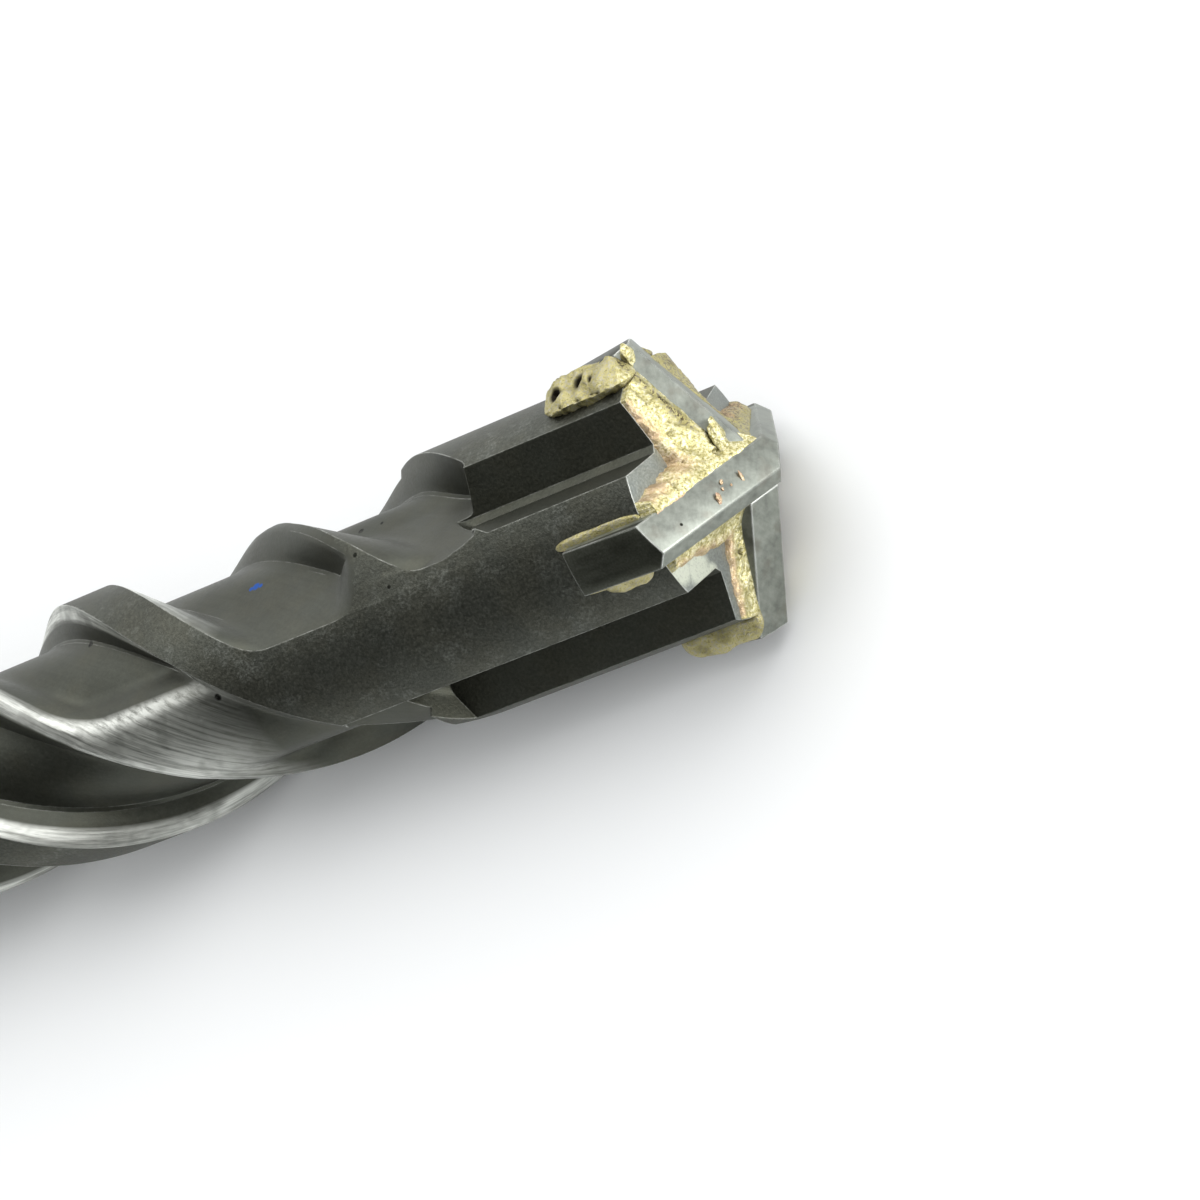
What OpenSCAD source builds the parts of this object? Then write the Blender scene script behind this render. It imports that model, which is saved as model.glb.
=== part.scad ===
// Hammer drill bit for masonry: a steel body with four helical flutes and a slotted quick-change shank,
// and a cross-shaped head whose three carbide plates are brazed into crossed slots.
// Modelled about its own axis with the tip along +Z, then laid on its side with the tip along +X.
// Angles round the axis start at one end of the long carbide plate and grow in the turning direction
// of a right-hand helix. Heights are measured from the outer corners of the long plate's cutting edges.

/* [Overall] */
// Length over everything, from the tip to the shank's end
total_len = 200; // [160:5:260]
// Length from the tip to the start of the plain shank
working_len = 147; // [110:1:155]

/* [Carbide] */
// Drilling diameter, over the ends of the long plate
cutter_d = 20.4; // [19.6:0.1:21.4]
// Thickness of the long plate
main_t = 3.0; // [2.6:0.1:3.4]
// Thickness of the short plates
side_t = 3.2; // [2.6:0.1:3.6]
// Point angle between opposite cutting edges
point_angle = 130; // [120:1:140]
// Depth of the plates below the outer corners
plate_depth = 6.7; // [5.5:0.1:8]
// Distance that the short plates' corners are set back
side_setback = 0.8; // [0.4:0.1:1.2]
// Slope of the faces behind the cutting edges
relief_angle = 26; // [20:1:30]
// Slope of the faces in front of the cutting edges
face_angle = 42; // [34:1:46]
// Distance of a cutting edge from its plate's middle plane
edge_offset = 0.6; // [0.3:0.05:0.9]
// Inward lean of the plates' outer ends
end_taper = 6; // [2:0.5:8]

/* [Head] */
// Outer diameter of the steel body
body_d = 17.1; // [16.4:0.1:17.8]
// Width of each of the four arms
arm_w = 8.0; // [7:0.1:9]
// Diameter of the round core between the arms
head_core_d = 11.9; // [11.6:0.1:12.6]
// Depth of the steel's rim below the outer corners
rim_depth = 1.3; // [1:0.1:1.8]
// Slope of the steel's end face
end_slope = 14; // [8:1:18]
// Length of the short channels between the arms, below the outer corners
short_channel = 15.8; // [14:0.2:17]
// Length of the long channels between the arms, below the outer corners
long_channel = 22.6; // [21:0.2:25]
// Rounding at the closed end of a channel
channel_end_r = 1.2; // [0.8:0.1:1.8]

/* [Flutes] */
// Advance of the helix in one turn
lead = 61; // [58:0.5:66]
// Diameter at the floor of the flutes
flute_core_d = 12; // [11.4:0.1:12.6]
// Width of the two front flutes along the axis
front_flute_w = 12.0; // [11:0.2:12.6]
// Width of the two rear flutes along the axis
rear_flute_w = 13.7; // [12.9:0.2:14.3]
// Width of the low ridge's crest between a front flute and a rear flute
low_ridge_w = 0.8; // [0.5:0.1:1.4]
// Diameter over the low ridges
low_ridge_d = 15.9; // [15:0.1:16.6]
// Width of the steep wall on the tip side of a front flute
tip_wall_w = 1.0; // [0.8:0.1:1.6]
// Width of the slope that rises from a front flute to the low ridge
low_front_w = 3.0; // [2.4:0.1:4]
// Width of the slope that falls from the low ridge to a rear flute
low_back_w = 2.4; // [2:0.1:3.4]
// Width of the rounded wall that rises from a rear flute to the high ridge
high_wall_w = 1.9; // [1.4:0.1:2.6]

/* [Braze] */
// Gap between carbide and steel, filled with braze
braze_gap = 0.2; // [0.1:0.05:0.4]
// Diameter of the braze on the head's end face
braze_d = 14.4; // [13:0.2:15.6]
// Height of the braze over the steel at that diameter and in the seams
braze_rise = 0.4; // [0.2:0.05:0.6]

/* [Shank] */
// Diameter of the shank
shank_d = 10; // [9.8:0.05:10.2]
// Length of the two drive grooves, open at the shank's end
drive_len = 26; // [22:1:28]
// Width of a drive groove
drive_w = 3.2; // [2.6:0.1:3.6]
// Depth of a drive groove
drive_depth = 1.9; // [1.4:0.1:2.2]
// Straight length of the two closed lock grooves
lock_len = 9; // [7:0.5:12]
// Distance from the shank's end to the middle of the lock grooves
lock_middle = 18.5; // [15:0.5:22]
// Radius of the cutter that made the lock grooves
lock_r = 3.6; // [3:0.1:4]
// Depth of a lock groove
lock_depth = 1.7; // [1.2:0.1:2]
// Chamfer at the shank's end
end_chamfer = 1; // [0.5:0.1:1.5]
// Length of the cone between the fluted body and the shank
shoulder_len = 8; // [5:0.5:12]

/* [Hidden] */
$fn = 96;

cutter_r = cutter_d / 2;
body_r = body_d / 2;
shank_r = shank_d / 2;
flute_core_r = flute_core_d / 2;
low_ridge_r = low_ridge_d / 2;

// Angle of the first arm round the axis, so that the bit lies between two arms
lie_angle = 225;
// Rise of a cutting edge for each millimetre towards the axis
edge_rise = tan(90 - point_angle / 2);
tip_z = edge_rise * cutter_r;
shank_end_z = tip_z - total_len;
neck_z = tip_z - working_len;
cone_top_z = neck_z + shoulder_len;
rim_z = -rim_depth;
end_cone_h = body_r * tan(end_slope);
over = 2;
far = cutter_r + 4;

steel = "#7b7c76";
carbide = "#a3a5a1";
brass = "#cfc07a";

// Helix geometry: two front and two rear flutes share one turn
// Height of a front flute's tip side at the first arm's angle
front_z0 = -2.2;
low_z0 = front_z0 - front_flute_w;
rear_z0 = low_z0 - low_ridge_w;
high_z0 = rear_z0 - rear_flute_w;
// Angles where the flat run-outs of the flutes leave the round floor
front_flat = -71;
rear_flat = -63;
// Angles past which a flute no longer climbs with the helix
front_level = -65;
rear_level = -42;
// The front flute is shallow where it crosses the wide land of the opposite arm
shallow_r = body_r - 0.5;
shallow_in = [-119, -150];
shallow_out = [-187, -212];
// The low ridge keeps its full height near the land and then comes down
low_from = -45;
low_to = -85;

// Angles at which the flutes start, beside the arms that they run out on
front_start = -24;
rear_start = -14;
ring_step = 10;
wall_steps = 4;
// Most of a flute's width that one of its walls may take
wall_share = 0.45;
// Radii outside the body: where the rounded walls top out, and the outside of a cut
clear_r = body_r + 0.12;
out_r = body_r + 1.5;
// How far a wall bulges: from 0, a straight slope, to 1, a quarter of an ellipse
low_bulge = 0.1;
high_bulge = 0.85;
// Steps along the rounded end of a channel
end_steps = 4;
// Overlap of a rear flute's cut with the front flute beside it
lap = 0.5;
end_turn = (neck_z - over - front_z0) / lead * 360;
ring_count = ceil(-end_turn / ring_step);

function helix(a) = lead * a / 360;
function ease(t) = let (s = min(1, max(0, t))) s * s * (3 - 2 * s);
function between(a, from, to) = ease((a - from) / (to - from));

// Radius of a flute's floor: flat where it runs out towards the head, round behind that
function flat_floor(a, flat) = a > flat ? flute_core_r / cos(a - flat) : flute_core_r;
function shallow(a) = between(a, shallow_in[0], shallow_in[1])
                    - between(a, shallow_out[0], shallow_out[1]);
function front_floor(a) = flat_floor(a, front_flat) + (shallow_r - flute_core_r) * shallow(a);
function rear_floor(a) = flat_floor(a, rear_flat);
function low_crest(a) = clear_r - (clear_r - low_ridge_r) * between(a, low_from, low_to);
function crest(a) = max(low_crest(a), min(front_floor(a), clear_r));

// Points of a wall from the top at one side of a flute down to its floor
function wall(z_top, width, r_top, r_floor, side, bulge) =
    [for (i = [0 : wall_steps])
        let (t = i / wall_steps,
             share = bulge * cos(90 * t) + (1 - bulge) * (1 - t))
            [z_top - side * width * t, r_floor + (r_top - r_floor) * share]];
function reversed(list) = [for (i = [len(list) - 1 : -1 : 0]) list[i]];
// Slope of the straight wall: width for each millimetre of depth below the land
function tip_slope(width, floor_r) = width / max(body_r - floor_r, body_r - shallow_r);

// One section of the cut that makes a front flute
function front_section(a) =
    let (z_tip = min(front_z0 + helix(a), front_z0 + helix(front_level)),
         z_low = low_z0 + helix(a),
         width = z_tip - z_low,
         floor_r = min(front_floor(a), clear_r),
         tip_w = min(tip_wall_w, wall_share * width),
         low_w = min(low_front_w, wall_share * width),
         slope = tip_slope(tip_w, floor_r))
    concat([[z_tip + (out_r - body_r) * slope, out_r],
            [z_tip - (body_r - floor_r) * slope, floor_r]],
           reversed(wall(z_low, low_w, crest(a), floor_r, -1, low_bulge)),
           [[z_low, out_r]]);

// One section of the cut that makes a rear flute and lowers the ridge in front of it
function rear_section(a) =
    let (z_low = low_z0 + helix(a) + lap,
         z_tip = rear_z0 + helix(min(a, rear_level)),
         z_high = high_z0 + helix(a),
         floor_r = min(rear_floor(a), clear_r),
         crest_r = max(crest(a), floor_r))
    concat([[z_low, out_r], [z_low, crest_r]],
           wall(z_tip, low_back_w, crest_r, floor_r, 1, low_bulge),
           reversed(wall(z_high, high_wall_w, clear_r, floor_r, -1, high_bulge)),
           [[z_high, out_r]]);

function on_ring(section, a) = [for (p = section) [p[1] * cos(a), p[1] * sin(a), p[0]]];

// Closed skin over a row of sections that all have the same number of points
module skin(rings) {
    m = len(rings[0]);
    n = len(rings);
    points = [for (ring = rings) each ring];
    sides = [for (i = [0 : n - 2], j = [0 : m - 1])
        let (k = (j + 1) % m) each [
            [i * m + j, (i + 1) * m + j, i * m + k],
            [i * m + k, (i + 1) * m + j, (i + 1) * m + k]]];
    first = [for (j = [0 : m - 1]) j];
    last = [for (j = [m - 1 : -1 : 0]) (n - 1) * m + j];
    polyhedron(points, concat(sides, [first, last]), convexity = 10);
}

module front_flute() {
    skin([for (i = [0 : ring_count]) let (a = front_start - i * ring_step) on_ring(front_section(a), a)]);
}

module rear_flute() {
    skin([for (i = [0 : ring_count]) let (a = rear_start - i * ring_step) on_ring(rear_section(a), a)]);
}

// What a channel leaves standing: the round core, rounded outwards at the channel's closed end
module channel_core(depth) {
    core_r = head_core_d / 2;
    rotate_extrude() polygon(concat(
        [[0, tip_z + over], [0, -depth - over], [core_r + channel_end_r, -depth - over]],
        [for (i = [end_steps : -1 : 0])
            let (turn = 90 * i / end_steps)
                [core_r + channel_end_r * (1 - cos(turn)), -depth + channel_end_r * (1 - sin(turn))]],
        [[core_r, tip_z + over]]));
}

// Corner between two arms, cut down to the round core
module channel(depth) {
    difference() {
        translate([arm_w / 2, arm_w / 2, -depth]) cube([far, far, depth + tip_z]);
        channel_core(depth);
    }
}

// The channels beside each arm: the long ones follow the first and the last arm
module channels() {
    for (a = [0, 180]) {
        rotate([0, 0, a]) channel(long_channel);
        rotate([0, 0, a - 90]) channel(short_channel);
    }
}

// Turned blank of the whole steel body
module blank() {
    rotate_extrude() polygon([
        [0, shank_end_z],
        [shank_r - end_chamfer, shank_end_z],
        [shank_r, shank_end_z + end_chamfer],
        [shank_r, neck_z],
        [body_r, cone_top_z],
        [body_r, rim_z],
        [0, rim_z + end_cone_h]]);
}

// Volume of the crossed slots, wider than the plates by the braze on every side
module slots() {
    depth = plate_depth + braze_gap;
    main_w = main_t + 2 * braze_gap;
    side_w = side_t + 2 * braze_gap;
    translate([-far, -main_w / 2, -depth]) cube([2 * far, main_w, depth + tip_z]);
    translate([-side_w / 2, -far, -depth]) cube([side_w, 2 * far, depth + tip_z]);
}

// Everything above a plane through a point, given the plane's normal
module above(point, normal) {
    size = 4 * far;
    translate(point)
        rotate([0, acos(normal[2] / norm(normal)), atan2(normal[1], normal[0])])
            translate([-size / 2, -size / 2, 0]) cube([size, size, size / 2]);
}

// The two ground faces of one cutting edge, as what lies above them
module above_edge(corner_z, offset) {
    corner = [sqrt(cutter_r * cutter_r - offset * offset), offset, corner_z];
    above(corner, [edge_rise, -tan(relief_angle), 1]);
    above(corner, [edge_rise, tan(face_angle), 1]);
}

// Round outer ends of the plates, leaning in towards the shank
module plate_ends() {
    depth = plate_depth;
    translate([0, 0, -depth]) cylinder(r1 = cutter_r - depth * tan(end_taper), r2 = cutter_r, h = depth);
    cylinder(r = cutter_r, h = tip_z + over);
}

module main_plate() {
    intersection() {
        translate([-far, -main_t / 2, -plate_depth]) cube([2 * far, main_t, plate_depth + 2 * tip_z]);
        plate_ends();
        difference() {
            translate([-far, -far, -plate_depth]) cube([2 * far, 2 * far, plate_depth + 2 * tip_z]);
            above_edge(0, edge_offset);
            rotate([0, 0, 180]) above_edge(0, edge_offset);
        }
    }
}

// Short plate along the first arm's direction, from the long plate outwards
module side_plate() {
    inner = main_t / 2 + braze_gap;
    intersection() {
        translate([inner, -side_t / 2, -plate_depth]) cube([far, side_t, plate_depth + 2 * tip_z]);
        plate_ends();
        difference() {
            translate([0, -far, -plate_depth]) cube([far, 2 * far, plate_depth + 2 * tip_z]);
            above_edge(-side_setback, edge_offset);
        }
    }
}

module steel_body() {
    difference() {
        blank();
        for (a = [0, 180]) rotate([0, 0, a]) {
            front_flute();
            rear_flute();
        }
        channels();
        slots();
        for (a = [0, 180]) rotate([0, 0, a]) {
            drive_groove();
            rotate([0, 0, 90]) lock_groove();
        }
    }
}

module drive_groove() {
    translate([shank_r - drive_depth, -drive_w / 2, shank_end_z - over])
        cube([far, drive_w, drive_len + over]);
}

module lock_groove() {
    axis_r = shank_r - lock_depth + lock_r;
    translate([axis_r, 0, shank_end_z + lock_middle]) {
        for (side = [-1, 1]) translate([0, 0, side * lock_len / 2]) sphere(r = lock_r);
        translate([0, 0, -lock_len / 2]) cylinder(r = lock_r, h = lock_len);
    }
}

// Braze in the slots and, as a cone parallel to the cutting edges, on the end face
module braze_fill() {
    bottom = plate_depth + braze_gap;
    braze_r = braze_d / 2;
    foot_z = rim_z + (body_r - braze_r) * tan(end_slope);
    difference() {
        union() {
            intersection() {
                slots();
                union() {
                    translate([0, 0, -bottom]) cylinder(r = body_r, h = bottom + rim_z + braze_rise);
                    translate([0, 0, rim_z + braze_rise]) cylinder(r1 = body_r, r2 = 0, h = end_cone_h);
                }
            }
            difference() {
                union() {
                    translate([0, 0, rim_z]) cylinder(r = braze_r, h = foot_z + braze_rise - rim_z);
                    translate([0, 0, foot_z + braze_rise]) cylinder(r1 = braze_r, r2 = 0, h = braze_r * edge_rise);
                }
                translate([0, 0, rim_z]) cylinder(r1 = body_r, r2 = 0, h = end_cone_h);
                channels();
            }
        }
        main_plate();
        for (a = [90, 270]) rotate([0, 0, a]) side_plate();
    }
}

// Lays the bit on its side with its middle over the origin
module lay() {
    translate([total_len / 2 - tip_z, 0, body_r]) rotate([0, 90, 0]) rotate([0, 0, lie_angle]) children();
}

module drill_body() { color(steel) lay() steel_body(); }
module main_cutter() { color(carbide) lay() main_plate(); }
module side_cutter_a() { color(carbide) lay() rotate([0, 0, 270]) side_plate(); }
module side_cutter_b() { color(carbide) lay() rotate([0, 0, 90]) side_plate(); }
module braze() { color(brass) lay() braze_fill(); }

drill_body();
main_cutter();
side_cutter_a();
side_cutter_b();
braze();
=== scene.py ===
"""Dresses a packed masonry drill bit: a finer steel body with its helical flutes and their
finishes, ground carbide plates, lumpy braze, and a plain pale studio with the photograph's camera.

Pieces are modelled upright in millimetres, with the bit's own axis on Z and its tip up, and are
then laid down as the CAD model lies. Angles round the axis are in degrees and start at one end of
the long carbide plate. Heights are measured from the outer corners of its cutting edges.
"""

import math

import bpy
from bpy.props import FloatProperty, FloatVectorProperty, PointerProperty
from bpy.types import Operator, Panel, PropertyGroup
from mathutils import Matrix, Vector, noise


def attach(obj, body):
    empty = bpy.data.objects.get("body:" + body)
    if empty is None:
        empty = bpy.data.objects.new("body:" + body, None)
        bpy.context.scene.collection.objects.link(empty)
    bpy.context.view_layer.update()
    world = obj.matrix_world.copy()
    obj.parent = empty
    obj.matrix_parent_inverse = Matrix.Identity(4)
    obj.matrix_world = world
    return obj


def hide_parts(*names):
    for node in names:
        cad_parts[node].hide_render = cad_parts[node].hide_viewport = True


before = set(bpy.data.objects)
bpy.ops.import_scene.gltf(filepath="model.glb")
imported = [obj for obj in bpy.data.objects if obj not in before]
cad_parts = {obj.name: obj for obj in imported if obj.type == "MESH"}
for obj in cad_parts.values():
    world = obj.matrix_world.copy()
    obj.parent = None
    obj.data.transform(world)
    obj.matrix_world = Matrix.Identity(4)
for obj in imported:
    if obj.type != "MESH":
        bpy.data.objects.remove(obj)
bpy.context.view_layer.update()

bl_info = {
    "name": "Hammer Drill Bit",
    "version": (1, 0, 0),
    "blender": (4, 5, 0),
    "location": "3D View > Sidebar > Drill Bit",
    "description": "Models a masonry drill bit round its packed frame and lights it",
    "category": "Add Mesh",
}

MM = 0.001


def srgb(hex_colour):
    """Linear colour of an sRGB hex value such as #8f9290."""
    channels = [int(hex_colour[i:i + 2], 16) / 255 for i in (1, 3, 5)]
    return [c / 12.92 if c <= 0.04045 else ((c + 0.055) / 1.055) ** 2.4 for c in channels]


def length(name, millimetres, description):
    """A length property whose default is given in millimetres."""
    return FloatProperty(name=name, description=description, default=millimetres * MM,
                         min=0.0, unit="LENGTH", precision=5)


def colour(name, hex_colour, description):
    """A colour property whose default is given as sRGB hex."""
    return FloatVectorProperty(name=name, description=description, subtype="COLOR", size=3,
                               min=0.0, max=1.0, default=srgb(hex_colour))


class BitSizes(PropertyGroup):
    """Sizes of the bit, the same as in the CAD model."""
    total_len: length("Overall length", 200, "From the tip to the shank's end")
    working_len: length("Working length", 147, "From the tip to the plain shank")
    cutter_d: length("Cutter diameter", 20.4, "Over the ends of the long plate")
    main_t: length("Long plate", 3.0, "Thickness of the long carbide plate")
    side_t: length("Short plates", 3.2, "Thickness of the short carbide plates")
    plate_depth: length("Plate depth", 6.7, "Depth of the plates below their outer corners")
    body_d: length("Body diameter", 17.1, "Over the lands of the steel body")
    arm_w: length("Arm width", 8.0, "Width of each arm of the head")
    head_core_d: length("Head core", 11.9, "Diameter of the core between the arms")
    lead: length("Lead", 61, "Advance of the flutes in one turn")
    flute_core_d: length("Flute core", 12, "Diameter at the floor of the flutes")
    low_ridge_d: length("Low ridges", 15.9, "Diameter over the ridges between two flutes")
    braze_gap: length("Braze gap", 0.2, "Gap between carbide and steel")
    shank_d: length("Shank diameter", 10, "Diameter of the plain shank")


class BitFinish(PropertyGroup):
    """Colours of the bit's finishes."""
    steel: colour("Steel", "#54564f", "Satin hardened steel of the flutes")
    blasted: colour("Blasted steel", "#5a5c55", "Shot-blasted lands of the head")
    sides: colour("Arm sides", "#585a52", "Milled sides of the head's arms")
    ends: colour("Arm ends", "#868b87", "Turned end face of the head's arms")
    carbide: colour("Carbide", "#8a8e86", "Ground tungsten carbide")
    braze: colour("Braze", "#cfc68a", "Filler metal of the brazed joints")
    copper: colour("Braze rim", "#c9a78e", "Copper-rich edge of the braze")


# Sizes of the cuts, in millimetres and degrees. Most are the CAD model's own
LIE_ANGLE = math.radians(225)
POINT_ANGLE = math.radians(130)
RIM_DEPTH = 1.3
END_SLOPE = math.radians(14)
CLEAR = 0.12            # how far a cut that starts outside the land stands off it
OUTSIDE = 1.5           # how far the outer side of a cut lies outside the land
PAST, FAR_PAST = 2, 4   # how far a cutting piece goes on past what it cuts
LAP = 0.5               # how far the rear cut reaches into the front one

# Channels of the head: depth, and how far the closed end slopes in mm for each mm across
SHORT_CHANNEL, SHORT_SLANT = 15.6, 1.1
LONG_CHANNEL, LONG_SLANT = 22.4, 0.35
CHANNEL_END_R = 1.2

# Flutes: widths along the axis, where they start, and where their floors leave the round core
FRONT_FLUTE_W, REAR_FLUTE_W = 12.0, 13.7
LOW_RIDGE_W = 0.8
TIP_WALL_W, LOW_FRONT_W, LOW_BACK_W, HIGH_WALL_W = 1.0, 3.0, 2.4, 1.9
LOW_BULGE, HIGH_BULGE = 0.1, 0.85
WALL_SHARE = 0.45       # the most of a narrow flute's width that one wall takes
FRONT_Z0 = -2.2
FRONT_START, REAR_START = -24, -14
FRONT_FLAT, REAR_FLAT = -74.5, -63
REAR_LEVEL = -42
LOW_FROM, LOW_TO = -45, -85
SHALLOW_IN, SHALLOW_OUT, SHALLOW_CUT = (-119, -150), (-187, -212), 0.5

# Only in this scene: the edge of the front flutes where they run out, as (angle, height) from the
# land of one arm round the end of the short channel to the next arm; their deeper floor there; and
# a shallow relief behind the long channel
FRONT_EDGE = ((-24, -15.4), (-26.2, -13.9), (-28.6, -12.8), (-30.5, -12.4), (-36, -12.8),
              (-42, -13.2), (-65, -13.2))
FRONT_DIP, DIP_FROM, DIP_TO = 0.55, -72, -100
RELIEF_Z, RELIEF_CUT, RELIEF_ANGLES = (-22.6, -28.3), 0.6, range(28, 64, 2)

# Shank
DRIVE_LEN, DRIVE_W, DRIVE_DEPTH = 26, 3.2, 1.9
LOCK_LEN, LOCK_MIDDLE, LOCK_R, LOCK_DEPTH = 9, 18.5, 3.6, 1.7
END_CHAMFER = 1
SHOULDER_LEN = 8

# Fineness of the modelled surfaces
BODY_SIDES = 360
NEAR_STEP, FAR_STEP, NEAR_TURN = 2.5, 6, 420
WALL_POINTS, FLOOR_POINTS, FILLET_PASSES = 12, 10, 2
END_STEPS = 12
BRAZE_GRID = 190
POINT_R = 1e-4          # radius of a turned point, so that its ring stays a ring
WELD = 1e-5             # points of a cut that are closer than this are one


def sizes():
    """The bit's sizes in millimetres, by name, with the ones worked out from them."""
    group = bpy.context.scene.bit_sizes
    found = {key: getattr(group, key) / MM for key in BitSizes.__annotations__}
    rise = math.tan(math.pi / 2 - POINT_ANGLE / 2)
    tip = rise * found["cutter_d"] / 2
    found.update(rise=rise, tip_z=tip, neck_z=tip - found["working_len"],
                 end_z=tip - found["total_len"], body_r=found["body_d"] / 2,
                 core_r=found["flute_core_d"] / 2, low_r=found["low_ridge_d"] / 2,
                 shank_r=found["shank_d"] / 2)
    return found


def laid_down(size):
    """Places a piece that was modelled upright in mm where the CAD model lies, in metres."""
    return (Matrix.Scale(MM, 4)
            @ Matrix.Translation((size["total_len"] / 2 - size["tip_z"], 0, size["body_r"]))
            @ Matrix.Rotation(math.pi / 2, 4, "Y") @ Matrix.Rotation(LIE_ANGLE, 4, "Z"))


def ease(t):
    """0 up to 0, 1 from 1 on, and a smooth step between them."""
    t = min(1.0, max(0.0, t))
    return t * t * (3 - 2 * t)


def between(a, start, end):
    """How far an angle has passed from the start to the end, eased."""
    return ease((a - start) / (end - start))


def filleted(points, fixed=0):
    """The same row of points with its corners rounded, apart from its ends and the first few."""
    for _ in range(FILLET_PASSES):
        middle = [((a[0] + b[0]) / 4 + p[0] / 2, (a[1] + b[1]) / 4 + p[1] / 2)
                  for a, p, b in zip(points[fixed:], points[fixed + 1:], points[fixed + 2:])]
        points = points[:fixed + 1] + middle + points[-1:]
    return points


class Flutes:
    """The two pairs of milling cuts, as sections at an angle: rows of points (height, radius)."""

    def __init__(self, size):
        self.size = size
        self.clear_r = size["body_r"] + CLEAR
        self.out_r = size["body_r"] + OUTSIDE
        self.low_z0 = FRONT_Z0 - FRONT_FLUTE_W
        self.rear_z0 = self.low_z0 - LOW_RIDGE_W
        self.high_z0 = self.rear_z0 - REAR_FLUTE_W

    def helix(self, a):
        """Advance of the flutes along the axis at an angle."""
        return self.size["lead"] * a / 360

    def flat_floor(self, a, flat):
        """Floor at the core, leaving it on a flat where the cutter ran out straight."""
        core = self.size["core_r"]
        return core / math.cos(math.radians(a - flat)) if a > flat else core

    def front_floor(self, a):
        """Floor of the front flutes: deeper near the head, and shallower for a stretch behind."""
        shallow = between(a, *SHALLOW_IN) - between(a, *SHALLOW_OUT)
        depth = self.size["body_r"] - SHALLOW_CUT - self.size["core_r"]
        dip = 1 - FRONT_DIP / self.size["core_r"] * (1 - between(a, DIP_FROM, DIP_TO))
        return self.flat_floor(a, FRONT_FLAT) * dip + depth * shallow

    def front_edge(self, a):
        """Height of the front flutes' tip-side edge."""
        for (a1, z1), (a2, z2) in zip(FRONT_EDGE, FRONT_EDGE[1:]):
            if a >= a2:
                return z1 + (z2 - z1) * min(1.0, max(0.0, (a - a1) / (a2 - a1)))
        return FRONT_Z0 + self.helix(a)

    def crest(self, a):
        """Radius of the low ridge between a front and a rear flute."""
        low = self.clear_r - (self.clear_r - self.size["low_r"]) * between(a, LOW_FROM, LOW_TO)
        return max(low, min(self.front_floor(a), self.clear_r))

    def wall(self, z_top, width, r_top, r_floor, side, bulge):
        """A wall from its top down to the floor, straight or bulging towards an ellipse."""
        points = []
        for i in range(WALL_POINTS + 1):
            t = i / WALL_POINTS
            share = bulge * math.cos(math.pi / 2 * t) + (1 - bulge) * (1 - t)
            points.append((z_top - side * width * t, r_floor + (r_top - r_floor) * share))
        return points

    def straight_wall(self, z_top, width, r_floor):
        """The straight wall on the tip side of a front flute, from outside the land."""
        body_r = self.size["body_r"]
        slope = width / max(body_r - r_floor, SHALLOW_CUT)
        radii = [body_r - (body_r - r_floor) * i / WALL_POINTS for i in range(1, WALL_POINTS + 1)]
        return [(z_top - (body_r - r) * slope, r) for r in [self.out_r] + radii]

    def floor(self, first, last):
        """Points along the floor between the feet of its two walls."""
        return [(first[0] + (last[0] - first[0]) * i / FLOOR_POINTS,
                 first[1] + (last[1] - first[1]) * i / FLOOR_POINTS)
                for i in range(1, FLOOR_POINTS)]

    def front_section(self, a):
        z_tip = self.front_edge(a)
        z_low = self.low_z0 + self.helix(a)
        width = z_tip - z_low
        floor_r = min(self.front_floor(a), self.clear_r)
        tip = self.straight_wall(z_tip, min(TIP_WALL_W, WALL_SHARE * width), floor_r)
        low_w = min(LOW_FRONT_W, WALL_SHARE * width)
        low = self.wall(z_low, low_w, self.crest(a), floor_r, -1, LOW_BULGE)[::-1]
        return filleted(tip + self.floor(tip[-1], low[0]) + low, 1) + [(z_low, self.out_r)]

    def rear_section(self, a):
        z_low = self.low_z0 + self.helix(a) + LAP
        z_tip = self.rear_z0 + self.helix(min(a, REAR_LEVEL))
        z_high = self.high_z0 + self.helix(a)
        floor_r = min(self.flat_floor(a, REAR_FLAT), self.clear_r)
        crest_r = max(self.crest(a), floor_r)
        tip = self.wall(z_tip, LOW_BACK_W, crest_r, floor_r, 1, LOW_BULGE)
        high = self.wall(z_high, HIGH_WALL_W, self.clear_r, floor_r, -1, HIGH_BULGE)[::-1]
        inner = [(z_low, crest_r)] + tip + self.floor(tip[-1], high[0]) + high
        return [(z_low, self.out_r)] + filleted(inner) + [(z_high, self.out_r)]

    def relief_section(self, a):
        """A shallow cut on the land behind the long channel, the same at each angle."""
        (top, low), r = RELIEF_Z, self.size["body_r"] - RELIEF_CUT
        return [(top, self.out_r), (top, r), ((top + low) / 2, r), (low, r), (low, self.out_r)]

    def angles(self, start):
        """Angles of a cut's sections, close together near the head and wider along the rest."""
        end = (self.size["neck_z"] - PAST - FRONT_Z0) / self.size["lead"] * 360
        found, a = [], start
        while a > end:
            found.append(a)
            a -= NEAR_STEP if start - a < NEAR_TURN else FAR_STEP
        return found + [end]


# Modelling tools ------------------------------------------------------------------------------

def primitive(kind, name, **settings):
    """Adds a primitive, with nothing else selected, and puts its place into its mesh."""
    bpy.ops.object.select_all(action="DESELECT")
    getattr(bpy.ops.mesh, f"primitive_{kind}_add")(**settings)
    piece = bpy.context.object
    piece.name = piece.data.name = name
    bpy.ops.object.transform_apply()
    return piece


def only(piece):
    """Selects one object and nothing else."""
    if bpy.context.object and bpy.context.object.mode != "OBJECT":
        bpy.ops.object.mode_set(mode="OBJECT")
    bpy.ops.object.select_all(action="DESELECT")
    piece.select_set(True)
    bpy.context.view_layer.objects.active = piece
    return piece


def edit(action="SELECT"):
    """Opens the active mesh for editing, with all of it selected, or nothing."""
    bpy.ops.object.mode_set(mode="EDIT")
    bpy.ops.mesh.select_all(action=action)


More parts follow.
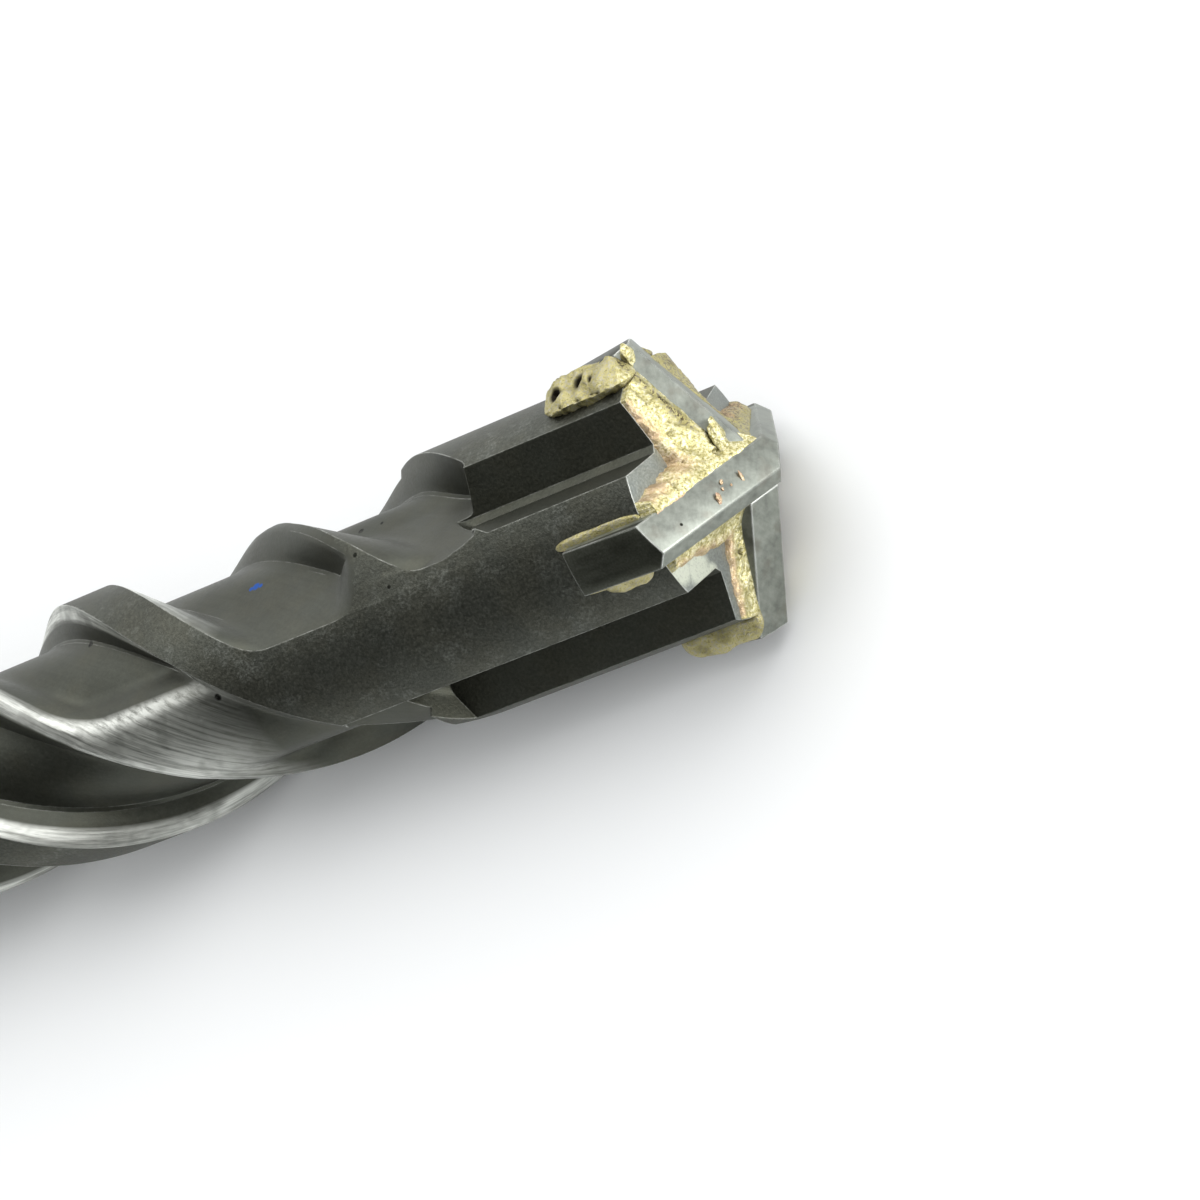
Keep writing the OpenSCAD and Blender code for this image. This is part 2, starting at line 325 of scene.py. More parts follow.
def end_edit():
    """Turns all the faces of the edited mesh outwards, and closes it."""
    bpy.ops.mesh.select_all(action="SELECT")
    bpy.ops.mesh.normals_make_consistent(inside=False)
    bpy.ops.object.mode_set(mode="OBJECT")


def cube(name, low, high):
    """A box between two corners."""
    low, high = Vector(low), Vector(high)
    return primitive("cube", name, size=1, location=(low + high) / 2, scale=high - low)


def cylinder(name, radius, low_z, high_z, vertices=BODY_SIDES):
    """A cylinder on the axis between two heights."""
    return primitive("cylinder", name, vertices=vertices, radius=radius, depth=high_z - low_z,
                     location=(0, 0, (low_z + high_z) / 2))


def turned(name, stations):
    """A turned shape: a disc extruded and resized from one station (height, radius) to the next."""
    z, r = stations[0]
    piece = primitive("circle", name, vertices=BODY_SIDES, radius=r, fill_type="NGON",
                      location=(0, 0, z))
    edit()
    for next_z, next_r in stations[1:]:
        bpy.ops.mesh.extrude_region_move(TRANSFORM_OT_translate={"value": (0, 0, next_z - z)})
        next_r = max(next_r, POINT_R)
        factor = next_r / r
        bpy.ops.transform.resize(value=(factor, factor, 1), center_override=(0, 0, next_z))
        z, r = next_z, next_r
    end_edit()
    return piece


def turn_piece(piece, degrees):
    """Turns a piece round the bit's axis."""
    only(piece)
    piece.rotation_euler = (0, 0, math.radians(degrees))
    bpy.ops.object.transform_apply()
    return piece


def boolean(piece, other, operation="DIFFERENCE"):
    """Cuts, joins or intersects two closed pieces, and removes the second."""
    only(piece)
    modifier = piece.modifiers.new("cut", "BOOLEAN")
    modifier.object, modifier.operation, modifier.solver = other, operation, "MANIFOLD"
    bpy.ops.object.modifier_apply(modifier=modifier.name)
    if piece.modifiers or not piece.data.vertices:
        raise RuntimeError(f"{other.name} could not be taken with {piece.name}")
    bpy.data.objects.remove(other)
    return piece


def duplicate(piece, name):
    """A copy with its own mesh."""
    only(piece)
    bpy.ops.object.duplicate()
    copy = bpy.context.object
    copy.name = copy.data.name = name
    return copy


def give_finish(piece, materials, index=0):
    """Gives a piece its material slots, and all its faces one of them. Cuts carry theirs along."""
    piece.data.materials.clear()
    for material in materials:
        piece.data.materials.append(material)
    piece.data.polygons.foreach_set("material_index", [index] * len(piece.data.polygons))


def wrapped_cut(name, section, angles):
    """A milling cut: a grid whose rows are wrapped round the axis, one section at each angle."""
    rings = [section(a) for a in angles]
    across, along = len(rings[0]), len(rings)
    piece = primitive("grid", name, x_subdivisions=across, y_subdivisions=along - 1, size=2)
    for vertex in piece.data.vertices:
        j = round((vertex.co.x + 1) / 2 * across) % across
        i = round((vertex.co.y + 1) / 2 * (along - 1))
        z, r = rings[i][j]
        a = math.radians(angles[i])
        vertex.co = (r * math.cos(a), r * math.sin(a), z)
    edit()
    bpy.ops.mesh.remove_doubles(threshold=WELD)
    bpy.ops.mesh.fill_holes(sides=0)
    bpy.ops.mesh.select_all(action="SELECT")
    bpy.ops.mesh.quads_convert_to_tris(quad_method="FIXED", ngon_method="CLIP")
    end_edit()
    return piece


def waves(x, y, layers):
    """Noise over the end face: the sum of layers (height, seed, waves to a millimetre)."""
    return sum(high * noise.noise(Vector((x, y, seed)) * dense) for high, seed, dense in layers)


class FrozenBraze:
    """How thick the filler metal lies on the head's end face, at a place across the axis.

    The long plate lies along x and the short plates along y. In each quarter the metal has its own
    height beside the plates and its own border on the arms.
    """

    # Quarter (sign of x, sign of y): share of the plate's height beside the long and the short
    # plate, how far the heap reaches, and the width covered beside each plate as (near the axis,
    # at the rim)
    QUARTERS = {
        (1, -1): (0.9, 0.92, 1.5, (1.75, 0.9), (2.5, 2.5)),
        (1, 1): (0.55, 0.25, 0.8, (2.2, 0.75), (0.9, 2.1)),
        (-1, -1): (0.7, 0.8, 1.1, (1.6, 1.0), (2.2, 2.0)),
        (-1, 1): (0.5, 0.6, 0.9, (1.5, 0.8), (1.5, 2.0)),
    }
    # Gas pores: place, radius, depth
    PORES = ((4.49, 2.66, 0.2, 0.5), (1.99, 4.2, 0.17, 0.4), (6.11, -2.03, 0.25, 0.35),
             (2.25, -2.1, 0.28, 0.4), (3.1, -4.4, 0.2, 0.25), (-4.2, 2.7, 0.2, 0.4),
             (-2.3, -5.2, 0.2, 0.4))
    BORDER = 0.4        # width over which the metal thins out
    SKIN = 0.22         # its thickness away from the heaps
    SUNK = 0.3          # how far the sheet lies inside the steel where there is no metal
    LONG_DROP, SHORT_DROP = 1.04, 1.75      # from a plate's edge to where its ground face ends
    FALL = 1.4          # how steeply a heap falls away
    # Layers of noise in the border and in the top
    WANDER = ((0.22, 7, 1.1), (0.12, 3, 3))
    LUMPS = ((0.34, 0, 0.9), (0.2, 5, 2.4), (0.1, 9, 5.5))

    def __init__(self, size):
        self.size = size

    def steel(self, x, y):
        """Height of the steel's end cone."""
        return -RIM_DEPTH + (self.size["body_r"] - math.hypot(x, y)) * math.tan(END_SLOPE)

    def plate_top(self, reach, drop):
        """Height of a plate's ground face where it meets the plate's side."""
        return self.size["rise"] * (self.size["cutter_d"] / 2 - reach) - drop

    def cover(self, x, y):
        """How far inside the metal's border a place lies."""
        beside = self.QUARTERS[math.copysign(1, x), math.copysign(1, y)][3:]
        rim = self.size["body_r"]
        wide_long, wide_short = (near + (far - near) * (abs(out) / rim)
                                 for (near, far), out in zip(beside, (x, y)))
        return max(wide_long - (abs(y) - self.size["main_t"] / 2),
                   wide_short - (abs(x) - self.size["side_t"] / 2)) + waves(x, y, self.WANDER)

    def height(self, x, y):
        """Top of the metal: heaped beside the plates, thin towards its border, lumpy all over."""
        rise_long, rise_short, reach = self.QUARTERS[math.copysign(1, x), math.copysign(1, y)][:3]
        steel = self.steel(x, y)
        to_long = max(0.0, abs(y) - self.size["main_t"] / 2)
        to_short = max(0.0, abs(x) - self.size["side_t"] / 2)
        heaps = [
            (self.plate_top(abs(out), drop) - steel) * rise * math.exp(-(to / reach) ** self.FALL)
            for out, drop, rise, to in ((x, self.LONG_DROP, rise_long, to_long),
                                        (y, self.SHORT_DROP, rise_short, to_short))]
        # The two heaps run into each other without a crease
        heap = math.log(sum(math.exp(3 * max(0.0, high)) for high in heaps) - 1) / 3
        # Beside the plates the metal ran smooth
        lumps = waves(x, y, self.LUMPS) * (0.2 + 0.8 * ease(to_long / 0.8) * ease(to_short / 0.6))
        inside = ease(self.cover(x, y) / self.BORDER + 0.3)
        top = self.SKIN + heap + lumps * (0.35 + 0.5 * min(1.0, heap))
        z = steel + top * inside - self.SUNK * (1 - inside)
        for pore_x, pore_y, radius, depth in self.PORES:
            far = math.hypot(x - pore_x, y - pore_y) / radius
            if far < 2:
                z -= depth * math.exp(-far ** 4 * 1.5)
        return z


def head_channel(size, depth, slant=0.0, spare=0.0):
    """The corner between two arms, down to the round core, with a rounded and sloping end."""
    half, far = size["arm_w"] / 2 + spare, size["cutter_d"] / 2 + FAR_PAST
    core_r = size["head_core_d"] / 2 + spare
    turns = [math.pi / 2 * i / END_STEPS for i in range(END_STEPS, -1, -1)]
    core = turned("core", [(-depth - PAST, core_r + CHANNEL_END_R)] + [
        (-depth + CHANNEL_END_R * (1 - math.sin(t)), core_r + CHANNEL_END_R * (1 - math.cos(t)))
        for t in turns] + [(size["tip_z"] + PAST, core_r)])
    channel = boolean(cube("channel", (half, half, -depth), (far, far, size["tip_z"])), core)
    for vertex in channel.data.vertices:
        if vertex.co.z < -depth / 2:
            vertex.co.z += slant * (vertex.co.y - vertex.co.x)
    return channel


def finish_piece(piece, size, smooth):
    """Lays a finished piece down, with its place in its mesh, and smooths it up to an angle."""
    only(piece)
    piece.matrix_world = laid_down(size)
    bpy.ops.object.transform_apply()
    bpy.ops.object.shade_smooth_by_angle(angle=math.radians(smooth))


# Materials ------------------------------------------------------------------------------------

def rgba(rgb, factor=1.0):
    """A colour, made lighter or darker, with the alpha that a socket asks for."""
    return [c * factor for c in rgb] + [1.0]


def grey(level):
    """A grey that darkens or lightens what it multiplies."""
    return rgba((level, level, level))


def add(tree, kind, inputs=(), out=0, stops=(), **settings):
    """Adds a node with its settings, sets or links its inputs, and gives one of its outputs.

    Inputs are in order, or by name or number. Text is a colour in sRGB hex. Stops are a colour
    ramp's, as (position, colour).
    """
    node = tree.nodes.new("ShaderNode" + kind)
    for key, value in settings.items():
        setattr(node, key, value)
    for key, value in inputs.items() if isinstance(inputs, dict) else enumerate(inputs):
        if isinstance(value, bpy.types.NodeSocket):
            tree.links.new(value, node.inputs[key])
        else:
            node.inputs[key].default_value = rgba(srgb(value)) if isinstance(value, str) else value
    for number, (position, shade) in enumerate(stops):
        if number > 1:
            node.color_ramp.elements.new(1.0)
        element = node.color_ramp.elements[number]
        element.position, element.color = position, shade
    return node.outputs[out] if node.outputs else None


def material_tree(name):
    """A new material and its empty node tree."""
    material = bpy.data.materials.new(name)
    material.use_nodes = True
    material.node_tree.nodes.clear()
    return material, material.node_tree


def surface(tree, inputs):
    """Ends a material's nodes with its surface."""
    add(tree, "OutputMaterial", {"Surface": add(tree, "BsdfPrincipled", inputs)})


def plain_material(name, hex_colour, roughness):
    """A dull even surface for the stage."""
    material, tree = material_tree(name)
    surface(tree, {"Base Color": hex_colour, "Roughness": roughness})
    return material


def per_mm(millimetres):
    """Scale of a pattern whose features are that many millimetres wide, on Object coordinates."""
    return 1 / (millimetres * MM)


def grain(place, scale, detail, roughness=0.6):
    """What a noise texture is given."""
    return {"Vector": place, "Scale": scale, "Detail": detail, "Roughness": roughness}


def overlap(tree, *masks):
    """White where all the masks are: their product."""
    product = masks[0]
    for mask in masks[1:]:
        product = add(tree, "Math", (product, mask), operation="MULTIPLY")
    return product


def coated(tree, shade, *coats):
    """The shade under coats of colour, each given as (mask, colour) and, if it tints, MULTIPLY."""
    for mask, paint, *blend in coats:
        shade = add(tree, "Mix", {0: mask, 6: shade, 7: paint}, 2, data_type="RGBA",
                    blend_type=blend[0] if blend else "MIX")
    return shade


def edge_mask(tree, radius, full=0.9):
    """White along sharp edges, where a rounded normal departs from the surface's own."""
    rounded = add(tree, "Bevel", {"Radius": radius * MM}, samples=6)
    own = add(tree, "NewGeometry", out="Normal")
    dot = add(tree, "VectorMath", (rounded, own), "Value", operation="DOT_PRODUCT")
    return add(tree, "MapRange", (dot, 0.998, full, 0.0, 1.0)), rounded


def round_the_axis(tree, place, size):
    """Coordinates that follow the bit (advance along the helix, radius, angle), the radius alone,
    and the place along the axis."""
    local = add(tree, "Mapping", {"Vector": place, "Location": (0, 0, -size["body_r"] * MM)})
    forward, across, up = add(tree, "SeparateXYZ", (local,)).node.outputs
    turn = add(tree, "Math", (across, up), operation="ARCTAN2")
    advance = add(tree, "Math", (turn, size["lead"] * MM / (2 * math.pi), forward),
                  operation="MULTIPLY_ADD")
    radial = add(tree, "VectorMath", (local, (0, 1, 1)), operation="MULTIPLY")
    radius = add(tree, "VectorMath", (radial,), "Value", operation="LENGTH")
    return add(tree, "CombineXYZ", (advance, radius, turn)), radius, forward


def spot_mask(tree, place, spots, size):
    """White inside round spots, given by their places in the bit's own frame and radii in mm."""
    found = 0.0
    for *middle, radius in spots:
        away = add(tree, "VectorMath", (place, tuple(laid_down(size) @ Vector(middle))), "Value",
                   operation="DISTANCE")
        inside = add(tree, "MapRange", (away, radius * MM, radius * 0.6 * MM, 0.0, 1.0))
        found = add(tree, "Math", (found, inside), operation="MAXIMUM")
    return found


def steel_material(name, base, size, roughness, grit, speckle, bump, edge_wear_and_highlight, lines=0.0,
                   polished=False, scuffed=0.0, marks=()):
    """Hardened tool steel: a satin dark grey with a fine grain, painted shade in its hollows, and
    bright edges that show wear and a painted highlight.

    Milled faces have lines that follow the helix, and the low ridges are polished by rubbing in
    the hole. Scuffs are light patches on the lands. Marks are (colour, spots).
    """
    material, tree = material_tree(name)
    place = add(tree, "TexCoord", out="Object")
    along, radius, forward = round_the_axis(tree, place, size)
    fine = add(tree, "TexNoise", grain(place, per_mm(grit), 3, 0.7))
    clouds = add(tree, "TexNoise", grain(place, per_mm(5), 4))
    stains = add(tree, "TexNoise", grain(place, per_mm(3.3), 3))
    chips = add(tree, "TexNoise", grain(place, per_mm(0.8), 2))
    height = fine
    # The brown stain that hardening leaves, and the dots of the grit
    coats = [(add(tree, "MapRange", (stains, 0.42, 0.62, 0.0, 0.35)), rgba((1.06, 0.99, 0.88)),
              "MULTIPLY"),
             (1.0, add(tree, "ValToRGB", (fine,), stops=(
                 (0.36, grey(1 - speckle)), (0.55, grey(1)), (0.76, grey(1 + 1.4 * speckle)))),
              "MULTIPLY")]
    if lines:
        # Feed lines of the milling cutter, 0.35 mm apart
        follow = add(tree, "Mapping", {"Vector": along, "Scale": (per_mm(0.35), per_mm(0.8), 1.2)})
        feed = add(tree, "TexNoise", grain(follow, 1, 3))
        coats.append((lines, add(tree, "ValToRGB", (feed,), stops=((0.3, grey(0.8)),
                                                                   (0.7, grey(1.16)))), "MULTIPLY"))
        height = add(tree, "Math", (feed, lines, fine), operation="MULTIPLY_ADD")
    if scuffed:
        rubs = add(tree, "TexNoise", grain(place, per_mm(2.6), 5, 0.75))
        coats.append((overlap(tree, add(tree, "MapRange", (rubs, 0.52, 0.7, 0.0, 1.0)),
                              add(tree, "MapRange", (fine, 0.45, 0.65, 0.2, 1.0)), scuffed),
                      "#9a9e98"))
    # Painted shade: darker in hollows and crevices, where less light reaches
    hollow = add(tree, "AmbientOcclusion", {"Distance": 1.1 * MM}, "AO", samples=8, only_local=True)
    coats.append((add(tree, "MapRange", (hollow, 0.35, 0.85, 0.6, 0.0)), "#20211d"))
    # Bright edges: partly wear, partly a painted highlight along them
    edges, rounded = edge_mask(tree, 0.12)
    bright = overlap(tree, edges, add(tree, "MapRange", (chips, 0.38, 0.62, 0.2, 1.0)), edge_wear_and_highlight)
    if polished:
        # Bright and scratched along the helix, from behind the head on
        follow = add(tree, "Mapping", {"Vector": along, "Scale": (per_mm(0.4), per_mm(0.4), 2.2)})
        scratches = add(tree, "TexNoise", grain(follow, 1, 4, 0.7))
        smears = add(tree, "TexNoise", grain(place, per_mm(3.5), 3))
        rubbing = overlap(tree, *(add(tree, "MapRange", values) for values in (
            (radius, 7.3 * MM, 7.7 * MM, 0.0, 1.0), (forward, 62 * MM, 55 * MM, 0.0, 1.0),
            (scratches, 0.34, 0.56, 0.3, 1.0), (smears, 0.32, 0.48, 0.5, 1.0))))
        bright = add(tree, "Math", (bright, rubbing), operation="MAXIMUM")
    coats.append((bright, "#dcded8"))
    ragged = add(tree, "MapRange", (fine, 0.3, 0.5, 0.5, 1.0))
    coats += [(overlap(tree, spot_mask(tree, place, spots, size), ragged), hex_colour)
              for hex_colour, spots in marks]
    shade = add(tree, "ValToRGB", (clouds,), stops=((0.3, rgba(base, 0.84)),
                                                    (0.7, rgba(base, 1.14))))
    surface(tree, {
        "Base Color": coated(tree, shade, *coats), "Metallic": 1.0,
        "Roughness": add(tree, "MapRange", (fine, 0.3, 0.7, roughness - 0.05, roughness + 0.08)),
        "Normal": add(tree, "Bump", {"Height": height, "Strength": bump, "Distance": 0.05 * MM,
                                     "Normal": rounded})})
    return material


def carbide_material(finish, size, pits):
    """Sintered tungsten carbide, ground: a cloudy satin grey with bright edges and faint lines."""
    material, tree = material_tree("ground_tungsten_carbide")
    place = add(tree, "TexCoord", out="Object")
    fine = add(tree, "TexNoise", grain(place, per_mm(0.14), 2))
    clouds = add(tree, "TexNoise", grain(place, per_mm(1.1), 5, 0.7))
    heat = add(tree, "TexNoise", grain(place, per_mm(1.7), 3))
    # Grinding lines are about 0.02 mm apart. They are drawn 0.125 mm apart, so that they show
    drawn_out = add(tree, "Mapping", {"Vector": place, "Scale": (8, 1, 0.7)})
    ground = add(tree, "TexNoise", grain(drawn_out, per_mm(1), 3))
    shade = add(tree, "ValToRGB", (clouds,), stops=(
        (0.28, rgba(finish.carbide, 0.66)), (0.5, rgba(finish.carbide)),
        (0.72, rgba(finish.carbide, 1.3))))
    # The round outer ends kept their dark fired skin, which ends 0.8 mm inside the cutter's radius
    _, radius, _ = round_the_axis(tree, place, size)
    inside = size["cutter_d"] / 2 - 0.8
    skin = add(tree, "MapRange", (radius, (inside - 0.05) * MM, inside * MM, 0.0, 1.0))
    facing = add(tree, "SeparateXYZ", (add(tree, "NewGeometry", out="Normal"),))
    skin = overlap(tree, skin, add(tree, "MapRange", (facing, 0.2, 0.3, 1.0, 0.0)))
    edges, rounded = edge_mask(tree, 0.16, 0.97)
    coats = (
        (0.3, add(tree, "ValToRGB", (ground,), stops=((0.35, grey(0.8)), (0.65, grey(1.15)))),
         "MULTIPLY"),
        # Brown heat marks left by brazing
        (add(tree, "MapRange", (heat, 0.55, 0.7, 0.0, 0.35)), "#6f675c"),
        (overlap(tree, skin, add(tree, "MapRange", (fine, 0.3, 0.7, 1.0, 0.85))), "#45473e"),
        # Bright edges: partly wear, partly a painted highlight along them, less of it on the skin
        (overlap(tree, edges, add(tree, "MapRange", (clouds, 0.35, 0.5, 0.6, 1.0)),
                 add(tree, "MapRange", (skin, 0.0, 1.0, 1.0, 0.3))), "#f6f8f4"),
        # Pits: dark spots of painted shade
        (spot_mask(tree, place, pits, size), "#23241f"))
    surface(tree, {
        "Base Color": coated(tree, shade, *coats), "Metallic": 1.0,
        "Roughness": add(tree, "MapRange", (clouds, 0.3, 0.7, 0.4, 0.52)),
        "Normal": add(tree, "Bump", {"Height": fine, "Strength": 0.25, "Distance": 0.02 * MM,
                                     "Normal": rounded})})
    return material


def braze_material(finish, size, pores):
    """Silver and copper based filler metal as it froze: grainy pale gold with painted glints, pink
    where it is thin, painted brown shade in its hollows, on one half and near the rim, and beside a
    short plate flux that burned in with a painted shadow."""
    material, tree = material_tree("frozen_braze")
    place = add(tree, "TexCoord", out="Object")
    tint_and_shade = add(tree, "SeparateColor", (add(tree, "Attribute", attribute_name="tint_and_shade"),)).node.outputs
    fine = add(tree, "TexNoise", grain(place, per_mm(0.2), 3, 0.75))
    patches = add(tree, "TexNoise", grain(place, per_mm(1.3), 3))
    # Grain from dark specks to pale cream, and the pale cream is a painted glint
    shade = add(tree, "ValToRGB", (fine,), stops=(
        (0.34, rgba(finish.braze, 0.4)), (0.47, rgba(finish.braze)), (0.62, rgba(srgb("#f5f0d2")))))
    hollow = add(tree, "AmbientOcclusion", {"Distance": 0.7 * MM}, "AO", samples=8, only_local=True)
    coats = (
        (add(tree, "MapRange", (patches, 0.48, 0.64, 0.0, 0.5)), "#8f8752"),
        (overlap(tree, tint_and_shade["Red"], add(tree, "MapRange", (patches, 0.35, 0.55, 0.25, 0.9))),
         rgba(finish.copper)),
        # Painted shade: brown in hollows, where less light reaches
        (add(tree, "MapRange", (hollow, 0.35, 0.8, 0.9, 0.0)), "#3d3518"),
        # Dark brown where marked green: painted shade, and beside a short plate also flux that
        # burned in
        (overlap(tree, tint_and_shade["Green"], add(tree, "MapRange", (fine, 0.42, 0.56, 0.0, 1.0))),
         "#3a2d17"),
        # Painted shade at the bottoms of the pores
        (spot_mask(tree, place, pores, size), "#1f1a0e"))
    surface(tree, {
        "Base Color": coated(tree, shade, *coats), "Metallic": 0.8, "Roughness": 0.45,
        "Normal": add(tree, "Bump", {"Height": fine, "Strength": 0.8, "Distance": 0.1 * MM})})
    return material


def keep_with_body(piece, node):
    """Lets a piece ride on the one body, and stand for its CAD node."""
    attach(piece, "root")
    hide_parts(node)


# Operators ------------------------------------------------------------------------------------

class BIT_OT_steel_body(Operator):
    """Model the steel body: turned blank, milled flutes, head channels, plate slots and grooves"""
    bl_idname = "bit.steel_body"
    bl_label = "Steel Body"

    # Marks as (colour, spots), each spot a place in the bit's frame and a radius: pits drawn as
    # dark spots of painted shade, a speck of blue paint, and a light patch of painted highlight on
    # an arm's end
    # Pits on the lands, drawn as dark spots of painted shade
    LAND_MARKS = (("#23241f", ((6.46, -5.6, -21.64, 0.2), (7.91, -3.24, -19.61, 0.16))),)
    # Pits on the flute floors as dark spots of painted shade, and a speck of blue paint
    FLOOR_MARKS = (("#1c1d19", ((1.68, -5.84, -46.51, 0.3), (8.02, -0.81, -34.95, 0.3),
                                (0.53, -5.67, -24.33, 0.25), (0.59, -5.64, -22.61, 0.16))),
                   ("#2456a8", ((2.66, -5.38, -32.0, 0.34), (2.74, -5.34, -31.6, 0.2),
                                (2.71, -5.35, -32.4, 0.2))))
    # A light patch on an arm's end: a painted highlight
    END_MARKS = (("#c3c7b8", ((5.89, 3.3, -0.8, 1.3), (7.4, 2.6, -1.05, 1.2),
                              (4.9, 4.1, -0.7, 0.8))),)

    def execute(self, context):
        size, finish = sizes(), context.scene.bit_finish
        flutes = Flutes(size)
        # Grit blasting and milling leave dimples of 0.05 mm or so. They are drawn four times as
        # wide (grit), so that they show
        materials = [
            steel_material("shot_blasted_tool_steel", finish.blasted, size, roughness=0.5, grit=0.2,
                           speckle=0.3, bump=0.8, edge_wear_and_highlight=0.6, scuffed=0.5, marks=self.LAND_MARKS),
            steel_material("milled_tool_steel", finish.steel, size, roughness=0.46, grit=0.25,
                           speckle=0.12, bump=0.25, edge_wear_and_highlight=0.8, lines=0.25, polished=True,
                           marks=self.FLOOR_MARKS),
            steel_material("milled_arm_side", finish.sides, size, roughness=0.5, grit=0.2,
                           speckle=0.2, bump=0.5, edge_wear_and_highlight=0.25),
            steel_material("turned_end_face", finish.ends, size, roughness=0.45, grit=0.15,
                           speckle=0.25, bump=0.5, edge_wear_and_highlight=1.0, scuffed=0.7, marks=self.END_MARKS)]
        blasted, milled, sides, ends = range(4)
        body_r, shank_r = size["body_r"], size["shank_r"]
        body = turned("drill_steel", [
            (size["end_z"], shank_r - END_CHAMFER), (size["end_z"] + END_CHAMFER, shank_r),
            (size["neck_z"], shank_r), (size["neck_z"] + SHOULDER_LEN, body_r),
            (-RIM_DEPTH, body_r), (-RIM_DEPTH + body_r * math.tan(END_SLOPE), 0)])
        give_finish(body, materials, blasted)
        for face in body.data.polygons:
            if face.center.z > -RIM_DEPTH:
                face.material_index = ends
        front = wrapped_cut("front_cut", flutes.front_section, flutes.angles(FRONT_START))
        rear = wrapped_cut("rear_cut", flutes.rear_section, flutes.angles(REAR_START))
        relief = wrapped_cut("land_relief", flutes.relief_section, RELIEF_ANGLES)
        for cut in (front, rear, relief):
            give_finish(cut, materials, milled)
            boolean(body, turn_piece(duplicate(cut, "cut_twin"), 180))
            boolean(body, cut)
        for turn in (0, 180):
            for start, depth, slant in ((turn, LONG_CHANNEL, LONG_SLANT),
                                        (turn - 90, SHORT_CHANNEL, SHORT_SLANT)):
                channel = head_channel(size, depth, slant)
                give_finish(channel, materials, sides)
                boolean(body, turn_piece(channel, start))
            for groove, start in ((self.drive_groove(size), turn),
                                  (self.lock_groove(size), turn + 90)):
                give_finish(groove, materials, milled)
                boolean(body, turn_piece(groove, start))
        for slot in self.slots(size):
            give_finish(slot, materials, milled)
            boolean(body, slot)
        finish_piece(body, size, smooth=24)
        keep_with_body(body, "drill_body")
        return {"FINISHED"}

    def slots(self, size):
        """The crossed slots for the plates, wider than the plates by the braze."""
        far, gap = size["cutter_d"], size["braze_gap"]
        low = -size["plate_depth"] - gap
        for name, key, turn in (("long_slot", "main_t", 0), ("short_slot", "side_t", 90)):
            half = size[key] / 2 + gap
            yield turn_piece(cube(name, (-far, -half, low), (far, half, size["tip_z"])), turn)

    def drive_groove(self, size):
        """One of the two open grooves that turn the bit."""
        inner = size["shank_r"] - DRIVE_DEPTH
        return cube("drive_groove", (inner, -DRIVE_W / 2, size["end_z"] - PAST),
                    (inner + PAST + FAR_PAST, DRIVE_W / 2, size["end_z"] + DRIVE_LEN))

    def lock_groove(self, size):
        """One of the two closed grooves that hold the bit, with round ends."""
        axis_r, middle = size["shank_r"] - LOCK_DEPTH + LOCK_R, size["end_z"] + LOCK_MIDDLE
        groove = cylinder("lock_groove", LOCK_R, -LOCK_LEN / 2, LOCK_LEN / 2, 64)
        for side in (-1, 1):
            end = primitive("uv_sphere", "groove_end", segments=64, ring_count=32, radius=LOCK_R,
                            location=(0, 0, side * LOCK_LEN / 2))
            boolean(groove, end, "UNION")
        only(groove).location = (axis_r, 0, middle)
        bpy.ops.object.transform_apply()
        return groove


class BIT_OT_carbide_plates(Operator):
    """Give the three brazed plates their ground faces and fine edges"""
    bl_idname = "bit.carbide_plates"
    bl_label = "Carbide Plates"

    # Small pits in the ground faces, drawn as dark spots of painted shade: place and radius
    PITS = ((7.94, -0.11, 0.71, 0.13), (1.4, -5.0, 1.99, 0.12))
    EDGE, WELD = 0.1 * MM, 1e-4 * MM

    def execute(self, context):
        material = carbide_material(context.scene.bit_finish, sizes(), self.PITS)
        for name, node in (("long_plate", "main_cutter"), ("short_plate_a", "side_cutter_a"),
                           ("short_plate_b", "side_cutter_b")):
            plate = duplicate(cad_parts[node], name)
            plate.parent = None
            for key in list(plate.keys()):
                del plate[key]
            edit()
            bpy.ops.mesh.remove_doubles(threshold=self.WELD)
            bpy.ops.mesh.dissolve_limited(angle_limit=math.radians(0.5))
            bpy.ops.object.mode_set(mode="OBJECT")
            bevel = plate.modifiers.new("edges", "BEVEL")
            bevel.width, bevel.segments, bevel.angle_limit = self.EDGE, 2, math.radians(15)
            bpy.ops.object.modifier_apply(modifier=bevel.name)
            bpy.ops.object.shade_smooth_by_angle(angle=math.radians(25))
            give_finish(plate, [material])
            keep_with_body(plate, node)
        return {"FINISHED"}


